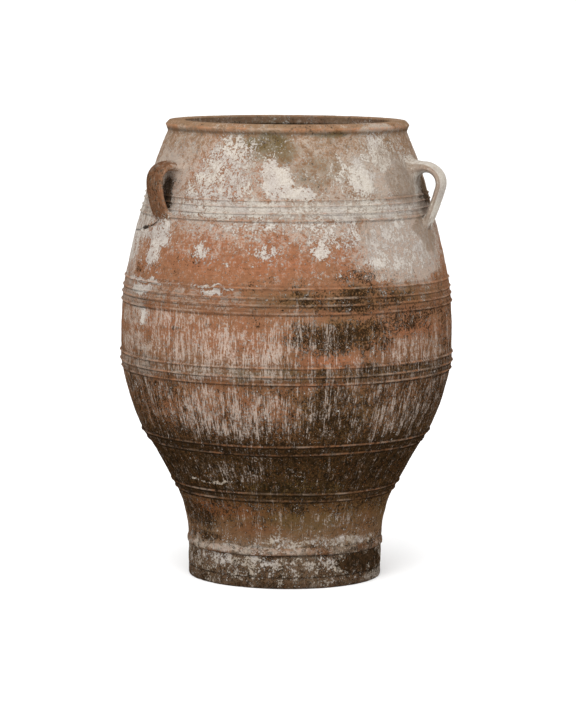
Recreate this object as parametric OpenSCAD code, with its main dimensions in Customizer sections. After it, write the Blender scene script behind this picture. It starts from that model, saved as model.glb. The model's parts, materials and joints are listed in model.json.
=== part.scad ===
// Three-handled storage jar (pithos) in terracotta, built the way a potter builds one:
// a slab for the floor, seven drums of coiled wall stacked on keyed seams, a rolled lip,
// a ridged clay band luted over each seam of the belly, and three pulled strap handles
// held by pads of clay.
// Millimetres, +Z up. The origin is the centre of the underside, on the jar's own axis.
// A handle's angle is measured about +Z from the -Y side, so that +90 is the +X side.

/* [Body] */
// Height from the ground to the top of the lip
jar_h = 1000; // [900:5:1100]
// Radius of the foot at the ground
foot_r = 212; // [200:1:224]
// Radius of the wall at the widest seam
belly_r = 363; // [340:1:390]
// Radius of the wall just under the lip
neck_r = 261; // [245:1:275]
// Wall thickness at the foot
foot_wall = 28; // [24:1:36]
// Wall thickness at the neck
neck_wall = 22; // [18:1:28]
// Thickness of the floor slab
slab_h = 24; // [18:1:34]

/* [Lip] */
// Height of the lip above the neck's seam
lip_h = 26; // [22:1:34]
// How far the lip stands out past the neck
lip_out = 5; // [3:0.5:10]
// Radius of the mouth, which takes a cover or a liner
mouth_r = 225; // [205:1:230]
// Length of the straight wall inside the mouth
mouth_l = 18; // [14:1:20]
// Width of the slope from the lip's flat top to its outer edge
lip_slope = 9; // [6:0.5:12]

/* [Bands] */
// Height that the clay of a band stands above the wall
band_t = 1; // [0.8:0.1:3]
// Height of a band's ridges above the band
ridge_h = 2.6; // [1.5:0.1:5]
// Width of a ridge at its root
ridge_w = 7; // [5:0.5:9]

/* [Handles] */
// Width of a handle's strap
strap_w = 56; // [44:1:64]
// Thickness of a handle's strap
strap_t = 17; // [13:1:20]
// Height of the strap's top run above the ground
strap_z = 909; // [900:1:915]
// How far a pad of clay spreads past the strap
pad_spread = 15; // [10:1:18]
// How far a pad of clay climbs up the strap
pad_climb = 12; // [8:1:16]

/* [Seams] */
// Height of the key that locks one drum to the next
key_h = 6; // [0:0.5:10]

/* [Hidden] */

$fn = 180;
DRUM_STEPS = 12;      // straight facets along each curved drum
FOOT_CHAMFER = 4;     // rounding of the slab's bottom edge
LIP_DROP = 10;        // from the lip's flat top down to its outermost edge
LIP_UNDERCUT = 24;    // from the lip's flat top down to its narrowest point
EMBED = 12;           // how deep a shape starts inside the wall before it is trimmed
BURY = 34;            // how far a strap's lower end runs on inside the wall
LAP = 20;             // degrees that two parts of one bend overlap
PAD_EDGE = 2;         // thickness of a pad at its thin end, up the strap
PAD_SIDE = 1.5;       // how much further a pad spreads along the strap's width

// Seams between the drums: height above ground, wall radius, and how far the wall
// below that seam bulges out (+) or in (-) from a straight line.
SEAMS = [
    [slab_h, foot_r, 0],
    [78, foot_r + 1, 0],
    [205, foot_r + 34, -9],
    [320, belly_r - 50, -2],
    [478, belly_r, 7],
    [636, belly_r - 6, 2.5],
    [820, belly_r - 50, 3.5],
    [jar_h - lip_h, neck_r, 4]
];

// Ridge heights of each band, lowest first
FLARE_RIDGES = [197, 213, 230];
LOWER_BELLY_RIDGES = [306, 325, 349];
MIDDLE_BELLY_RIDGES = [462, 478, 497];
UPPER_BELLY_RIDGES = [610, 627, 642, 662];
SHOULDER_RIDGES = [802, 817, 831, 843];

// Handles: angle about the axis, radius of the outermost point of the strap's centre
// line, radius of the bend at the top, radius of the slower bend below it, and degrees
// past upright that the top bend turns before the slower one starts
LEFT = [-57, 337, 34, 150, 0];
RIGHT = [70, 352, 38, 600, atan2(7, 24)];
REAR = [186, 350, 36, 130, 0];

COL_RED = [0.68, 0.47, 0.36];
COL_LIME = [0.74, 0.68, 0.60];
COL_BROWN = [0.40, 0.31, 0.23];
COL_DARK = [0.30, 0.23, 0.17];

// ---- the wall's outline -------------------------------------------------------------

// Radius along the drum that ends at seam s, at share t of its height
function drum_r(s, t) =
    SEAMS[s - 1][1] + (SEAMS[s][1] - SEAMS[s - 1][1]) * t + 4 * SEAMS[s][2] * t * (1 - t);

function drum_z(s, t) = SEAMS[s - 1][0] + (SEAMS[s][0] - SEAMS[s - 1][0]) * t;

// The drum that holds height z
function drum_at(z, s = 1) = (s == len(SEAMS) - 1 || z <= SEAMS[s][0]) ? s : drum_at(z, s + 1);

// Outer radius of the wall at height z
function wall_r(z) =
    let (s = drum_at(z), t = (z - SEAMS[s - 1][0]) / (SEAMS[s][0] - SEAMS[s - 1][0]))
    drum_r(s, t);

// Wall thickness at height z, measured level
function wall_t(z) = foot_wall + (neck_wall - foot_wall) * z / jar_h;

// Slope of the wall at height z, in degrees from upright, positive where it leans in
function wall_lean(z) = atan2(wall_r(z - 5) - wall_r(z + 5), 10);

function outer_line(s) = [
    for (i = [0 : DRUM_STEPS]) [drum_r(s, i / DRUM_STEPS), drum_z(s, i / DRUM_STEPS)]
];

function inner_line(s) = [
    for (p = outer_line(s)) [p[0] - wall_t(p[1]), p[1]]
];

function reversed(line) = [for (i = [len(line) - 1 : -1 : 0]) line[i]];

// Top of the key that stands on seam s
function key_point(s) = [SEAMS[s][1] - wall_t(SEAMS[s][0]) / 2, SEAMS[s][0] + key_h];

// Everything inside the outside of the bare wall
module envelope_2d() {
    polygon(concat(
        [[0, 0], [foot_r - FOOT_CHAMFER, 0], [foot_r, 2 * FOOT_CHAMFER]],
        [for (s = [1 : len(SEAMS) - 1]) each outer_line(s)],
        [[0, SEAMS[len(SEAMS) - 1][0]]]
    ));
}

// ---- floor, drums and lip -----------------------------------------------------------

module base_slab() {
    color(COL_DARK)
    rotate_extrude()
    polygon([
        [0, 0], [foot_r - FOOT_CHAMFER, 0], [foot_r, 2 * FOOT_CHAMFER], [foot_r, slab_h],
        key_point(0), [foot_r - wall_t(slab_h), slab_h], [0, slab_h]
    ]);
}

// The drum between seam s - 1 and seam s
module drum(s) {
    rotate_extrude()
    polygon(concat(
        outer_line(s), [key_point(s)], reversed(inner_line(s)), [key_point(s - 1)]
    ));
}

module rim_lip() {
    seam_z = SEAMS[len(SEAMS) - 1][0];
    inside_r = neck_r - wall_t(seam_z);
    edge_r = neck_r + lip_out;
    color(COL_RED)
    rotate_extrude()
    polygon([
        [neck_r, seam_z],
        [neck_r, jar_h - LIP_UNDERCUT],
        [edge_r, jar_h - LIP_DROP - 1], [edge_r, jar_h - LIP_DROP + 1],
        [edge_r - lip_slope, jar_h],
        [mouth_r, jar_h], [mouth_r, jar_h - mouth_l],
        [inside_r, seam_z],
        key_point(len(SEAMS) - 1)
    ]);
}

// ---- bands and ledge ----------------------------------------------------------------

// Outline of one ridge at height z, standing on the band
function ridge(z) = [
    [wall_r(z - ridge_w / 2) + band_t, z - ridge_w / 2],
    [wall_r(z) + band_t + ridge_h, z - ridge_w / 6],
    [wall_r(z) + band_t + ridge_h, z + ridge_w / 6],
    [wall_r(z + ridge_w / 2) + band_t, z + ridge_w / 2]
];

module band_2d(ridges) {
    low = ridges[0] - ridge_w / 2;
    high = ridges[len(ridges) - 1] + ridge_w / 2;
    difference() {
        polygon(concat(
            [[wall_r(low) - EMBED, low]],
            [for (z = ridges) each ridge(z)],
            [[wall_r(high) - EMBED, high]]
        ));
        envelope_2d();
    }
}

module band(ridges, shade) {
    color(shade)
    rotate_extrude()
    band_2d(ridges);
}

// A rolled coil over the seam between the foot and the flare
module foot_ledge_coil() {
    color(COL_LIME)
    rotate_extrude()
    difference() {
        polygon([
            [foot_r - EMBED, 72], [foot_r + 3, 72], [foot_r + 4.5, 76],
            [foot_r + 4.5, 82], [foot_r + 2.5, 90], [foot_r - EMBED, 94]
        ]);
        envelope_2d();
    }
}

// ---- handles ------------------------------------------------------------------------

// Cross-section of the strap: x is its thickness, y its width
module strap_2d() {
    straight = strap_w - strap_t;
    square([strap_t, straight], center = true);
    for (side = [-1, 1])
        translate([0, side * straight / 2])
            circle(d = strap_t);
}

// Centre of the slower bend in the strap's plane: radius and height
function slow_r(h) = h[1] - h[2] - (h[3] - h[2]) * cos(h[4]);
function slow_z(h) = strap_z - h[2] + (h[3] - h[2]) * sin(h[4]);

// The strap swept round a bend of radius r, up from the angle given
module bend(r, start, angle) {
    rotate([90, 0, 0])
        rotate_extrude(angle = angle, start = start)
            translate([r, 0])
                strap_2d();
}

// Radius of the strap's centre line below its top bend, at height z
function strap_r(h, z) = slow_r(h) + sqrt(h[3] * h[3] - pow(slow_z(h) - z, 2));

// Height where that centre line reaches the wall
function root_z(h, z = 860) = strap_r(h, z) <= wall_r(z) ? z : root_z(h, z - 1);

// Angle that the strap has turned from upright where it reaches the wall
function root_turn(h) = asin((slow_z(h) - root_z(h)) / h[3]);

// Degrees of the slower bend that lie inside the wall
function bury(h) = BURY / h[3] * 180 / PI;

// The whole strap in the plane of its angle, before the wall trims it: a level run out
// of the wall, a tight bend, and a slower bend down and back to the wall
module strap(h) {
    bend_x = h[1] - h[2];
    fall = root_turn(h) - h[4] + bury(h);
    rotate([0, 0, h[0] - 90]) {
        translate([bend_x, 0, strap_z])
            rotate([0, -90, 0])
                linear_extrude(height = bend_x - wall_r(strap_z) + EMBED)
                    strap_2d();
        translate([bend_x, 0, strap_z - h[2]]) {
            bend(h[2], 0, 90);
            rotate([0, h[4], 0]) {
                if (h[4] > 0)
                    bend(h[2], 0, h[4] + LAP);
                translate([h[2] - h[3], 0, 0])
                    bend(h[3], -fall, fall);
            }
        }
    }
}

// The outside that handles and pads are trimmed to: the wall with its shoulder band
module outside() {
    rotate_extrude() {
        envelope_2d();
        band_2d(SHOULDER_RIDGES);
    }
}

module handle(h, shade) {
    color(shade)
    difference() {
        strap(h);
        outside();
    }
}

// A collar of clay round the strap, its axis along +Z: a straight part in the wall,
// then a taper up the strap, the same all round the strap's width
module collar() {
    straight = strap_w - strap_t + 2 * PAD_SIDE;
    wide = strap_t / 2 + pad_spread;
    narrow = strap_t / 2 + PAD_EDGE;
    for (side = [-1, 1])
        translate([0, side * straight / 2, 0]) {
            translate([0, 0, -EMBED])
                cylinder(r = wide, h = EMBED);
            cylinder(r1 = wide, r2 = narrow, h = pad_climb);
        }
    rotate([90, 0, 0])
        linear_extrude(height = straight, center = true)
            polygon([
                [-wide, -EMBED], [wide, -EMBED], [wide, 0],
                [narrow, pad_climb], [-narrow, pad_climb], [-wide, 0]
            ]);
}

// A collar pressed onto the wall at height z, tilted up from level
module pad(h, z, tilt, shade) {
    color(shade)
    difference() {
        difference() {
            rotate([0, 0, h[0] - 90])
                translate([wall_r(z), 0, z])
                    rotate([0, 90 - tilt, 0])
                        collar();
            outside();
        }
        strap(h);
    }
}

module upper_pad(h, shade) {
    pad(h, strap_z, wall_lean(strap_z) / 2, shade);
}

module lower_pad(h, shade) {
    pad(h, root_z(h), 45 - root_turn(h) / 4, shade);
}

// ---- assembly -----------------------------------------------------------------------

base_slab();
color(COL_DARK) drum(1);  // foot_drum
foot_ledge_coil();
color(COL_BROWN) drum(2);  // flare_drum
band(FLARE_RIDGES, COL_DARK);  // flare_band
color(COL_DARK) drum(3);  // lower_belly_drum
band(LOWER_BELLY_RIDGES, COL_DARK);  // lower_belly_band
color(COL_BROWN) drum(4);  // middle_belly_drum
band(MIDDLE_BELLY_RIDGES, COL_BROWN);  // middle_belly_band
color(COL_RED) drum(5);  // upper_belly_drum
band(UPPER_BELLY_RIDGES, COL_BROWN);  // upper_belly_band
color(COL_RED) drum(6);  // shoulder_drum
band(SHOULDER_RIDGES, COL_LIME);  // shoulder_band
color(COL_LIME) drum(7);  // neck_drum
rim_lip();
handle(LEFT, COL_RED);  // left_handle
upper_pad(LEFT, COL_RED);  // left_handle_upper_pad
lower_pad(LEFT, COL_RED);  // left_handle_lower_pad
handle(RIGHT, COL_LIME);  // right_handle
upper_pad(RIGHT, COL_LIME);  // right_handle_upper_pad
lower_pad(RIGHT, COL_LIME);  // right_handle_lower_pad
handle(REAR, COL_LIME);  // rear_handle
upper_pad(REAR, COL_LIME);  // rear_handle_upper_pad
lower_pad(REAR, COL_LIME);  // rear_handle_lower_pad
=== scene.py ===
"""An old three-handled storage jar in terracotta: the looks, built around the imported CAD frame.

Shapes are worked out in millimetres and turned to metres when a mesh is made. A point on the wall
is given by its azimuth, in degrees from the front (-Y) towards the right-hand side (+X), and its
height above the ground.
"""
import json
import math
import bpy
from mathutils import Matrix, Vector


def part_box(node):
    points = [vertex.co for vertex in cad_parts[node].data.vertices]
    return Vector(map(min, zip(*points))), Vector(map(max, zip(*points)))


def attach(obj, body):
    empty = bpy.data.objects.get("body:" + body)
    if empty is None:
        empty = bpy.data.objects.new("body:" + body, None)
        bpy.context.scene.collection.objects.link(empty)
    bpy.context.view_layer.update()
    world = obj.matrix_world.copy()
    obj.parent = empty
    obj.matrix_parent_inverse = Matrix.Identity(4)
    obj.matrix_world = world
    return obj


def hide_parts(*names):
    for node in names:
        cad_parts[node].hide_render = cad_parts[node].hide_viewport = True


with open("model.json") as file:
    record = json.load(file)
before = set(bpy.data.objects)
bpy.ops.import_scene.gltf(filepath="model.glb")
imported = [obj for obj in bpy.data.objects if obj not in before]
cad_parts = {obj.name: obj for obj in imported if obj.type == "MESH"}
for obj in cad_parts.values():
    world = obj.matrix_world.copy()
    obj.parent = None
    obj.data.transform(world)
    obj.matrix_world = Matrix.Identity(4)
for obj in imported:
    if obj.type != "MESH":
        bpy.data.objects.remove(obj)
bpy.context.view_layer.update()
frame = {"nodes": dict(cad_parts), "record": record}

from types import SimpleNamespace

import bpy
import numpy as np
from mathutils import Matrix, Vector

MM = 0.001

# ---- sizes, in mm --------------------------------------------------------------------

COLUMNS = 800            # points round each ring of the wall
UNROLLED_R = 350.0       # radius at which runs and lines of dirt are laid out
ROW_STEP = 2.2           # height between rows on the outside of a drum
INNER_ROW_STEP = 9.0     # and on the inside
WALL_AT_FOOT = 28.0      # wall thickness, as in the CAD model
WALL_AT_NECK = 22.0
BAND_STEP = 0.9          # height between rows on a ridged band
BAND_ROOT = 6.0          # how deep a band is set into the wall
RIDGE_PROUD = 3.4        # crest of a ridge above the wall
RIDGE_HALF = 3.4         # half of a ridge's width at its root
FLUTE_PROUD = 0.7        # bottom of the hollow between two ridges, above the wall
STRAP_POINTS = 56        # points round a strap
STRAP_STEP = 1.6         # distance between rings along a strap
STRAP_SQUARENESS = 2.25  # 2 is an ellipse, more is boxier

DRUMS = [
    "foot_drum", "flare_drum", "lower_belly_drum", "middle_belly_drum",
    "upper_belly_drum", "shoulder_drum", "neck_drum",
]
BANDS = [
    "flare_band", "lower_belly_band", "middle_belly_band", "upper_belly_band", "shoulder_band",
]
# How much fuller the slab and each drum are below (+) or above (-) their middle, in mm of radius
FULLER_BELOW = np.array([0.0, 0.5, 1.0, 1.0, 0.3, -0.6, 0.0, 0.4])

# ---- noise ---------------------------------------------------------------------------

RNG = np.random.default_rng(7)
SHUFFLE = np.tile(RNG.permutation(256), 3)
SLOPES = RNG.normal(size=(256, 3))
SLOPES /= np.linalg.norm(SLOPES, axis=1)[:, None]


def noise(points, seed=0):
    """Gradient noise from about -1 to 1, with one feature per unit of the points given."""
    cell = np.floor(points).astype(np.int64)
    inside = points - cell
    ease = inside ** 3 * (inside * (inside * 6 - 15) + 10)
    cell = (cell + seed * 37) & 255
    total = np.zeros(len(points))
    for corner in range(8):
        cx, cy, cz = corner & 1, corner >> 1 & 1, corner >> 2
        index = SHUFFLE[SHUFFLE[SHUFFLE[cell[:, 0] + cx] + cell[:, 1] + cy] + cell[:, 2] + cz]
        slope = SLOPES[index]
        lean = (
            slope[:, 0] * (inside[:, 0] - cx)
            + slope[:, 1] * (inside[:, 1] - cy)
            + slope[:, 2] * (inside[:, 2] - cz)
        )
        share_x = ease[:, 0] if cx else 1 - ease[:, 0]
        share_y = ease[:, 1] if cy else 1 - ease[:, 1]
        share_z = ease[:, 2] if cz else 1 - ease[:, 2]
        total += lean * share_x * share_y * share_z
    return total * 1.9


def cloud(points, size, octaves, seed=0):
    """Noise with features of that size and finer ones over it, from about -1 to 1."""
    total = np.zeros(len(points))
    for octave in range(octaves):
        total += noise(points / size * 2 ** octave, seed + octave) * 0.55 ** octave
    return total


def step(value, low, high):
    """0 below low and 1 above high, with a smooth change between."""
    share = np.clip((value - low) / (high - low), 0, 1)
    return share * share * (3 - 2 * share)


def bell(value, middle, width):
    """1 at the middle, falling smoothly to 0 on both sides."""
    return np.exp(-((value - middle) / width) ** 2)


def fading(distance, length):
    """1 up to a distance of 0, and less and less beyond it, down to 0.37 at that length."""
    return np.exp(-np.clip(distance, 0, None) / length)


# ---- the wall's outline, from the CAD model ------------------------------------------


def cad_points(node):
    """The vertices of a CAD node, in mm."""
    vertices = frame["nodes"][node].data.vertices
    points = np.empty(len(vertices) * 3, np.float32)
    vertices.foreach_get("co", points)
    return points.reshape(-1, 3).astype(float) / MM


def cad_span(node):
    """The lowest and highest points of a CAD node, in mm."""
    low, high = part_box(node)
    return low.z / MM, high.z / MM


def cad_radius(node, height):
    """The node's outer radius at a height where it has vertices."""
    points = cad_points(node)
    near = np.abs(points[:, 2] - height) < 1
    return np.hypot(points[near, 0], points[near, 1]).max()


# Heights of the joints between the slab, the drums and the lip, and radii there and halfway
SEAM_Z = np.array([0] + [cad_span(node)[0] for node in [*DRUMS, "rim_lip"]])
SEAM_R = np.array([
    cad_radius(node, height)
    for node, height in zip(["base_slab", *DRUMS, "rim_lip"], [SEAM_Z[1], *SEAM_Z[1:]])
])
MIDDLE_R = np.array([SEAM_R[0]] + [
    cad_radius(drum, height) for drum, height in zip(DRUMS, (SEAM_Z[1:-1] + SEAM_Z[2:]) / 2)
])
JAR_TOP = cad_span("rim_lip")[1]
LEDGE_UNDERSIDE, LEDGE_TOP = cad_span("foot_ledge_coil")


def outline_radius(height):
    """Outer radius of the bare wall at each height."""
    height = np.asarray(height, float)
    drum = np.clip(np.searchsorted(SEAM_Z, height, side="right") - 1, 0, len(SEAM_Z) - 2)
    share = (height - SEAM_Z[drum]) / (SEAM_Z[drum + 1] - SEAM_Z[drum])
    share = np.clip(share, 0, 1)
    straight = SEAM_R[drum] + (SEAM_R[drum + 1] - SEAM_R[drum]) * share
    bulge = MIDDLE_R[drum] - (SEAM_R[drum] + SEAM_R[drum + 1]) / 2
    hump = 4 * share * (1 - share)
    return straight + bulge * hump + 2 * FULLER_BELOW[drum] * hump * (1 - 2 * share)


def wall_thickness(height):
    """Thickness of the wall at each height, in mm."""
    return WALL_AT_FOOT + (WALL_AT_NECK - WALL_AT_FOOT) * np.asarray(height, float) / JAR_TOP


def ridge_heights(band):
    """The heights of a band's ridges, lowest first, from its outermost CAD vertices."""
    points = cad_points(band)
    proud = np.hypot(points[:, 0], points[:, 1]) - outline_radius(points[:, 2])
    crests = np.unique(points[proud > 0.8 * proud.max(), 2].round())
    groups = np.split(crests, np.flatnonzero(np.diff(crests) > 6) + 1)
    return [float(group.mean()) for group in groups]


CRESTS = [crest for band in BANDS for crest in ridge_heights(band)]


def place(azimuth, radius, height):
    """Points in space, in mm, from azimuth in degrees, radius and height."""
    turn = np.radians(azimuth)
    return np.stack([radius * np.sin(turn), -radius * np.cos(turn), height], -1)


def azimuth_of(points):
    """The azimuth of points in space."""
    return np.degrees(np.arctan2(points[:, 0], -points[:, 1]))


# ---- where the wear, dirt, painted shade and painted shadow lie ----------------------

# Patches of each kind: azimuth, height, half width in degrees, half height in mm, strength. The
# orange ones are warmer clay, not dirt.
PATCHES = {"lime": [
    (-26, 925, 12, 46, 0.66), (-5, 886, 6, 38, 0.92), (3, 856, 8, 13, 0.85),
    (-26, 872, 15, 40, 0.62), (-38, 862, 9, 26, 0.55), (32, 884, 7, 46, 0.82),
    (45, 945, 9, 34, 0.7), (58, 900, 17, 60, 0.55), (-32, 732, 4, 20, 0.6), (-8, 740, 4, 26, 0.54),
    (13, 750, 3, 30, 0.68), (33, 716, 6, 9, 0.74), (-57, 742, 5, 42, 0.78),
    (-82, 790, 13, 110, 0.72), (-70, 800, 8, 50, 0.72), (-60, 645, 6, 12, 0.84),
    (-27, 647, 4, 8, 0.8), (-58, 586, 3, 20, 0.8), (-20, 823, 34, 20, 0.74), (30, 822, 36, 20, 0.7),
    (-5, 790, 18, 12, 0.5), (20, 770, 16, 24, 0.48), (44, 740, 18, 60, 0.54),
    (17, 800, 14, 14, 0.6), (62, 740, 18, 50, 0.45), (2, 102, 16, 9, 0.54), (34, 100, 30, 9, 0.5),
    (-24, 58, 34, 12, 0.6), (-40, 236, 16, 2.5, 0.62), (-60, 664, 16, 5, 0.7),
    (-26, 664, 12, 4, 0.6), (-53, 786, 2.5, 18, 0.72), (-64, 770, 4, 26, 0.6),
    (24, 905, 3, 30, 0.6), (46, 790, 9, 14, 0.62), (56, 735, 8, 30, 0.62), (66, 862, 4, 24, 0.75),
    (38, 772, 5, 18, 0.6),
], "haze": [
    (49, 752, 24, 80, 1.05), (-82, 740, 16, 110, 0.6), (-62, 890, 20, 60, 0.75),
    (5, 822, 50, 18, 0.95), (66, 828, 14, 34, 0.95), (-60, 822, 16, 24, 0.95),
    (42, 900, 22, 60, 0.8), (-12, 905, 20, 50, 0.6), (16, 782, 14, 22, 0.7),
    (-75, 640, 16, 50, 0.6), (-62, 480, 20, 34, 0.5), (6, 102, 22, 10, 0.5),
    (36, 102, 30, 10, 0.55), (-32, 83, 50, 7, 0.95), (68, 876, 18, 56, 0.95),
    (49, 988, 14, 8, 0.95), (-50, 645, 20, 26, 0.45), (14, 825, 60, 20, 0.9),
    (62, 745, 20, 60, 0.8), (-20, 482, 22, 16, 0.5), (40, 684, 12, 14, 0.85),
    (60, 690, 12, 14, 0.95), (70, 12, 14, 12, 0.8), (-30, 636, 26, 22, 0.44),
    (-66, 590, 16, 30, 0.55), (-64, 530, 16, 30, 0.5),
], "streak": [
    (-24, 532, 30, 54, 0.46), (52, 522, 20, 36, 0.36), (-20, 396, 32, 54, 0.42),
    (-44, 590, 22, 24, 0.4), (-22, 482, 34, 20, 0.4), (5, 560, 12, 50, 0.32),
    (46, 392, 18, 44, 0.3), (-30, 925, 16, 50, 0.35), (80, 560, 12, 60, 0.25),
    (30, 150, 26, 20, 0.24), (-22, 262, 16, 24, 0.24),
], "dark": [
    (24, 684, 11, 15, 0.42), (24, 637, 24, 26, 0.62), (-65, 688, 3, 8, 0.6),
    (-40, 572, 2.4, 6, 0.66), (15, 560, 17, 32, 0.8), (30, 545, 12, 22, 0.6),
    (-52, 430, 12, 36, 0.62), (80, 560, 14, 60, 0.5), (50, 600, 20, 16, 0.54),
    (34, 484, 36, 18, 0.62), (-62, 415, 19, 50, 0.62), (-68, 380, 12, 40, 0.7),
    (17, 402, 12, 62, 0.84), (62, 395, 14, 60, 0.76), (30, 686, 14, 10, 0.3),
    (84, 400, 16, 80, 0.72), (40, 432, 34, 40, 0.6), (70, 440, 14, 50, 0.78),
    (-60, 150, 20, 34, 0.8), (56, 46, 30, 30, 1.0), (68, 385, 12, 44, 0.8), (10, 150, 22, 20, 0.3),
    # (-58, 860), (-55, 832) and (78, 852) are partly painted shadow on the wall behind the left and
    # right straps, partly soot.
    (-10, 966, 6, 9, 0.45), (-58, 860, 4.6, 24, 1.15), (-55, 832, 3.4, 28, 1.15),
    (78, 852, 7, 36, 1.1), (-60, 212, 22, 22, 1.0), (-60, 262, 20, 44, 1.15),
    (46, 262, 28, 42, 1.1), (40, 582, 22, 22, 0.6), (-56, 104, 20, 11, 0.62), (56, 81, 26, 9, 0.85),
    (50, 545, 18, 16, 0.34), (-42, 12, 22, 12, 0.52), (60, 134, 14, 16, 0.42),
    (70, 482, 12, 20, 0.6), (76, 530, 14, 30, 0.5), (-36, 712, 8, 16, 0.3), (8, 742, 8, 30, 0.26),
], "moss": [
    (-10, 960, 11, 20, 1.15), (-8, 950, 13, 32, 0.8), (22, 980, 6, 8, 0.7), (12, 905, 14, 36, 0.46),
    (5, 225, 26, 20, 0.6), (18, 400, 15, 66, 0.58), (14, 482, 58, 14, 0.52),
    (24, 640, 36, 24, 0.58), (18, 566, 18, 34, 0.66), (8, 150, 24, 26, 0.5),
], "wash": [
    # (68, 762) and (62, 770) darken the wall beside the right strap's lower root.
    (56, 880, 9, 52, 0.72), (68, 762, 5, 36, 0.85), (-18, 900, 22, 40, 0.3), (50, 935, 10, 24, 0.5),
    (62, 770, 3, 40, 0.7), (30, 780, 4, 34, 0.5), (80, 880, 12, 50, 0.6), (-70, 800, 8, 40, 0.5),
], "orange": [
    (-20, 735, 30, 56, 0.95), (16, 512, 9, 12, 1.0), (50, 568, 9, 14, 0.7), (-25, 400, 30, 56, 0.5),
    (-40, 168, 24, 16, 1.0), (-17, 134, 14, 16, 0.55), (14, 458, 10, 5, 0.9), (-20, 476, 8, 5, 0.9),
    (-22, 566, 30, 44, 0.45), (20, 722, 8, 26, 0.5), (-24, 892, 22, 56, 0.85),
    (-46, 590, 12, 24, 0.5), (26, 575, 10, 16, 0.5),
]}

# Patches scattered over the back, in the style of the front: seed, count, lowest and highest
# middle, half width, half height, strength
SCATTERED = [
    ("lime", 1, 16, 640, 960, 9, 34, 0.8), ("lime", 2, 8, 60, 260, 16, 12, 0.5),
    ("haze", 3, 5, 640, 940, 28, 80, 0.6), ("streak", 4, 6, 350, 600, 22, 60, 0.55),
    ("dark", 5, 12, 100, 640, 18, 50, 0.75), ("dark", 6, 4, 640, 960, 7, 20, 0.6),
    ("moss", 7, 6, 120, 960, 18, 36, 0.55), ("wash", 8, 6, 700, 960, 10, 60, 0.55),
    ("orange", 9, 9, 130, 780, 22, 50, 0.8),
]
BACK_FROM, BACK_TO = 96, 264


def scattered(seed, count, low, high, wide, tall, peak):
    """Patches at random places over the back of the jar."""
    rng = np.random.default_rng(seed)
    return [
        (
            rng.uniform(BACK_FROM, BACK_TO), rng.uniform(low, high), wide * rng.uniform(0.4, 1.4),
            tall * rng.uniform(0.4, 1.4), peak * rng.uniform(0.7, 1.1),
        )
        for _ in range(count)
    ]


for kind, *settings in SCATTERED:
    PATCHES[kind] += scattered(*settings)

# Strength of each kind with height, where there is no patch
HEIGHTS = [0, 24, 60, 90, 120, 160, 215, 300, 350, 430, 500, 620, 700, 800, 900, 975, 1000]
LEVELS = {
    "lime": [0.1, 0.34, 0.38, 0.24, 0.12, 0, 0, 0, 0, 0, 0, 0.02, 0.05, 0.25, 0.2, 0.1, 0],
    "haze": [0.3, 0.15, 0.2, 0.25, 0.15, 0, 0, 0, 0, 0.05, 0.2, 0.22, 0.18, 0.62, 0.56, 0.46, 0.2],
    "streak": [0, 0, 0, 0, 0.1, 0.1, 0.05, 0.05, 0.14, 0.22, 0.24, 0.05, 0.04, 0.1, 0.1, 0, 0],
    "dark": [
        0.5, 0.52, 0.5, 0.46, 0.2, 0.34, 0.72, 0.82, 0.72, 0.4, 0.26, 0.18, 0.12, 0.1, 0.08,
        0.1, 0.1,
    ],
    "moss": [0, 0, 0.1, 0.1, 0.2, 0.3, 0.3, 0.3, 0.3, 0.2, 0.15, 0.15, 0, 0, 0.1, 0.1, 0],
    "wash": [0, 0, 0, 0, 0, 0, 0, 0, 0, 0, 0.05, 0.1, 0.1, 0.15, 0.15, 0.15, 0],
    "orange": [0] * len(HEIGHTS),
}

# How much noise breaks up the edges of each kind of dirt, and the kinds that take the broader noise
BROKEN_UP = {"lime": 0.12, "haze": 0.16, "streak": 0.1, "dark": 0.14, "moss": 0.12, "wash": 0.12}
BROADLY = ("dark", "moss")

# Ridge heights, with how pale the crests are there, partly wear and partly painted highlight, and
# how dark the painted shade, partly dirt, is in the hollows
RIDGE_HEIGHTS = [200, 232, 306, 349, 462, 497, 610, 662, 802, 843]
CREST_LEVEL = [0.6, 0.9, 0.5, 0.8, 0.7, 0.8, 0.6, 1.0, 0.6, 0.5]
HOLLOW_LEVEL = [1.2, 1.0, 1.3, 1.1, 1.0, 0.6, 0.95, 0.4, 0.5, 0.15]


def strength(kind, azimuth, height):
    """How strong one kind of dirt, or of painted shadow in the dark kind, is at each point: the
    height's level or the strongest patch.
    """
    total = np.interp(height, HEIGHTS, LEVELS[kind])
    for middle, middle_height, wide, tall, peak in PATCHES[kind]:
        turn = (azimuth - middle + 180) % 360 - 180
        distance = np.hypot(turn / wide, (height - middle_height) / tall)
        share = 0.62 * step(-distance, -1.3, -0.55) + 0.38 * step(-distance, -2.3, -0.9)
        total = np.maximum(total, peak * share)
    return total


# ---- colours -------------------------------------------------------------------------

LIGHT_LEVEL = 2.0        # how brightly the studio lights a surface that faces the camera


def seen(red, green, blue):
    """The surface colour that shows as that sRGB colour, 0 to 255, under the studio light."""
    channels = []
    for channel in (red, green, blue):
        share = channel / 255
        linear = share / 12.92 if share <= 0.04045 else ((share + 0.055) / 1.055) ** 2.4
        channels.append(linear / LIGHT_LEVEL)
    return np.array(channels)


ORANGE = seen(190, 130, 96)
RED_CLAY = seen(150, 96, 64)
INSIDE_CLAY = seen(150, 124, 102)
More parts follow.
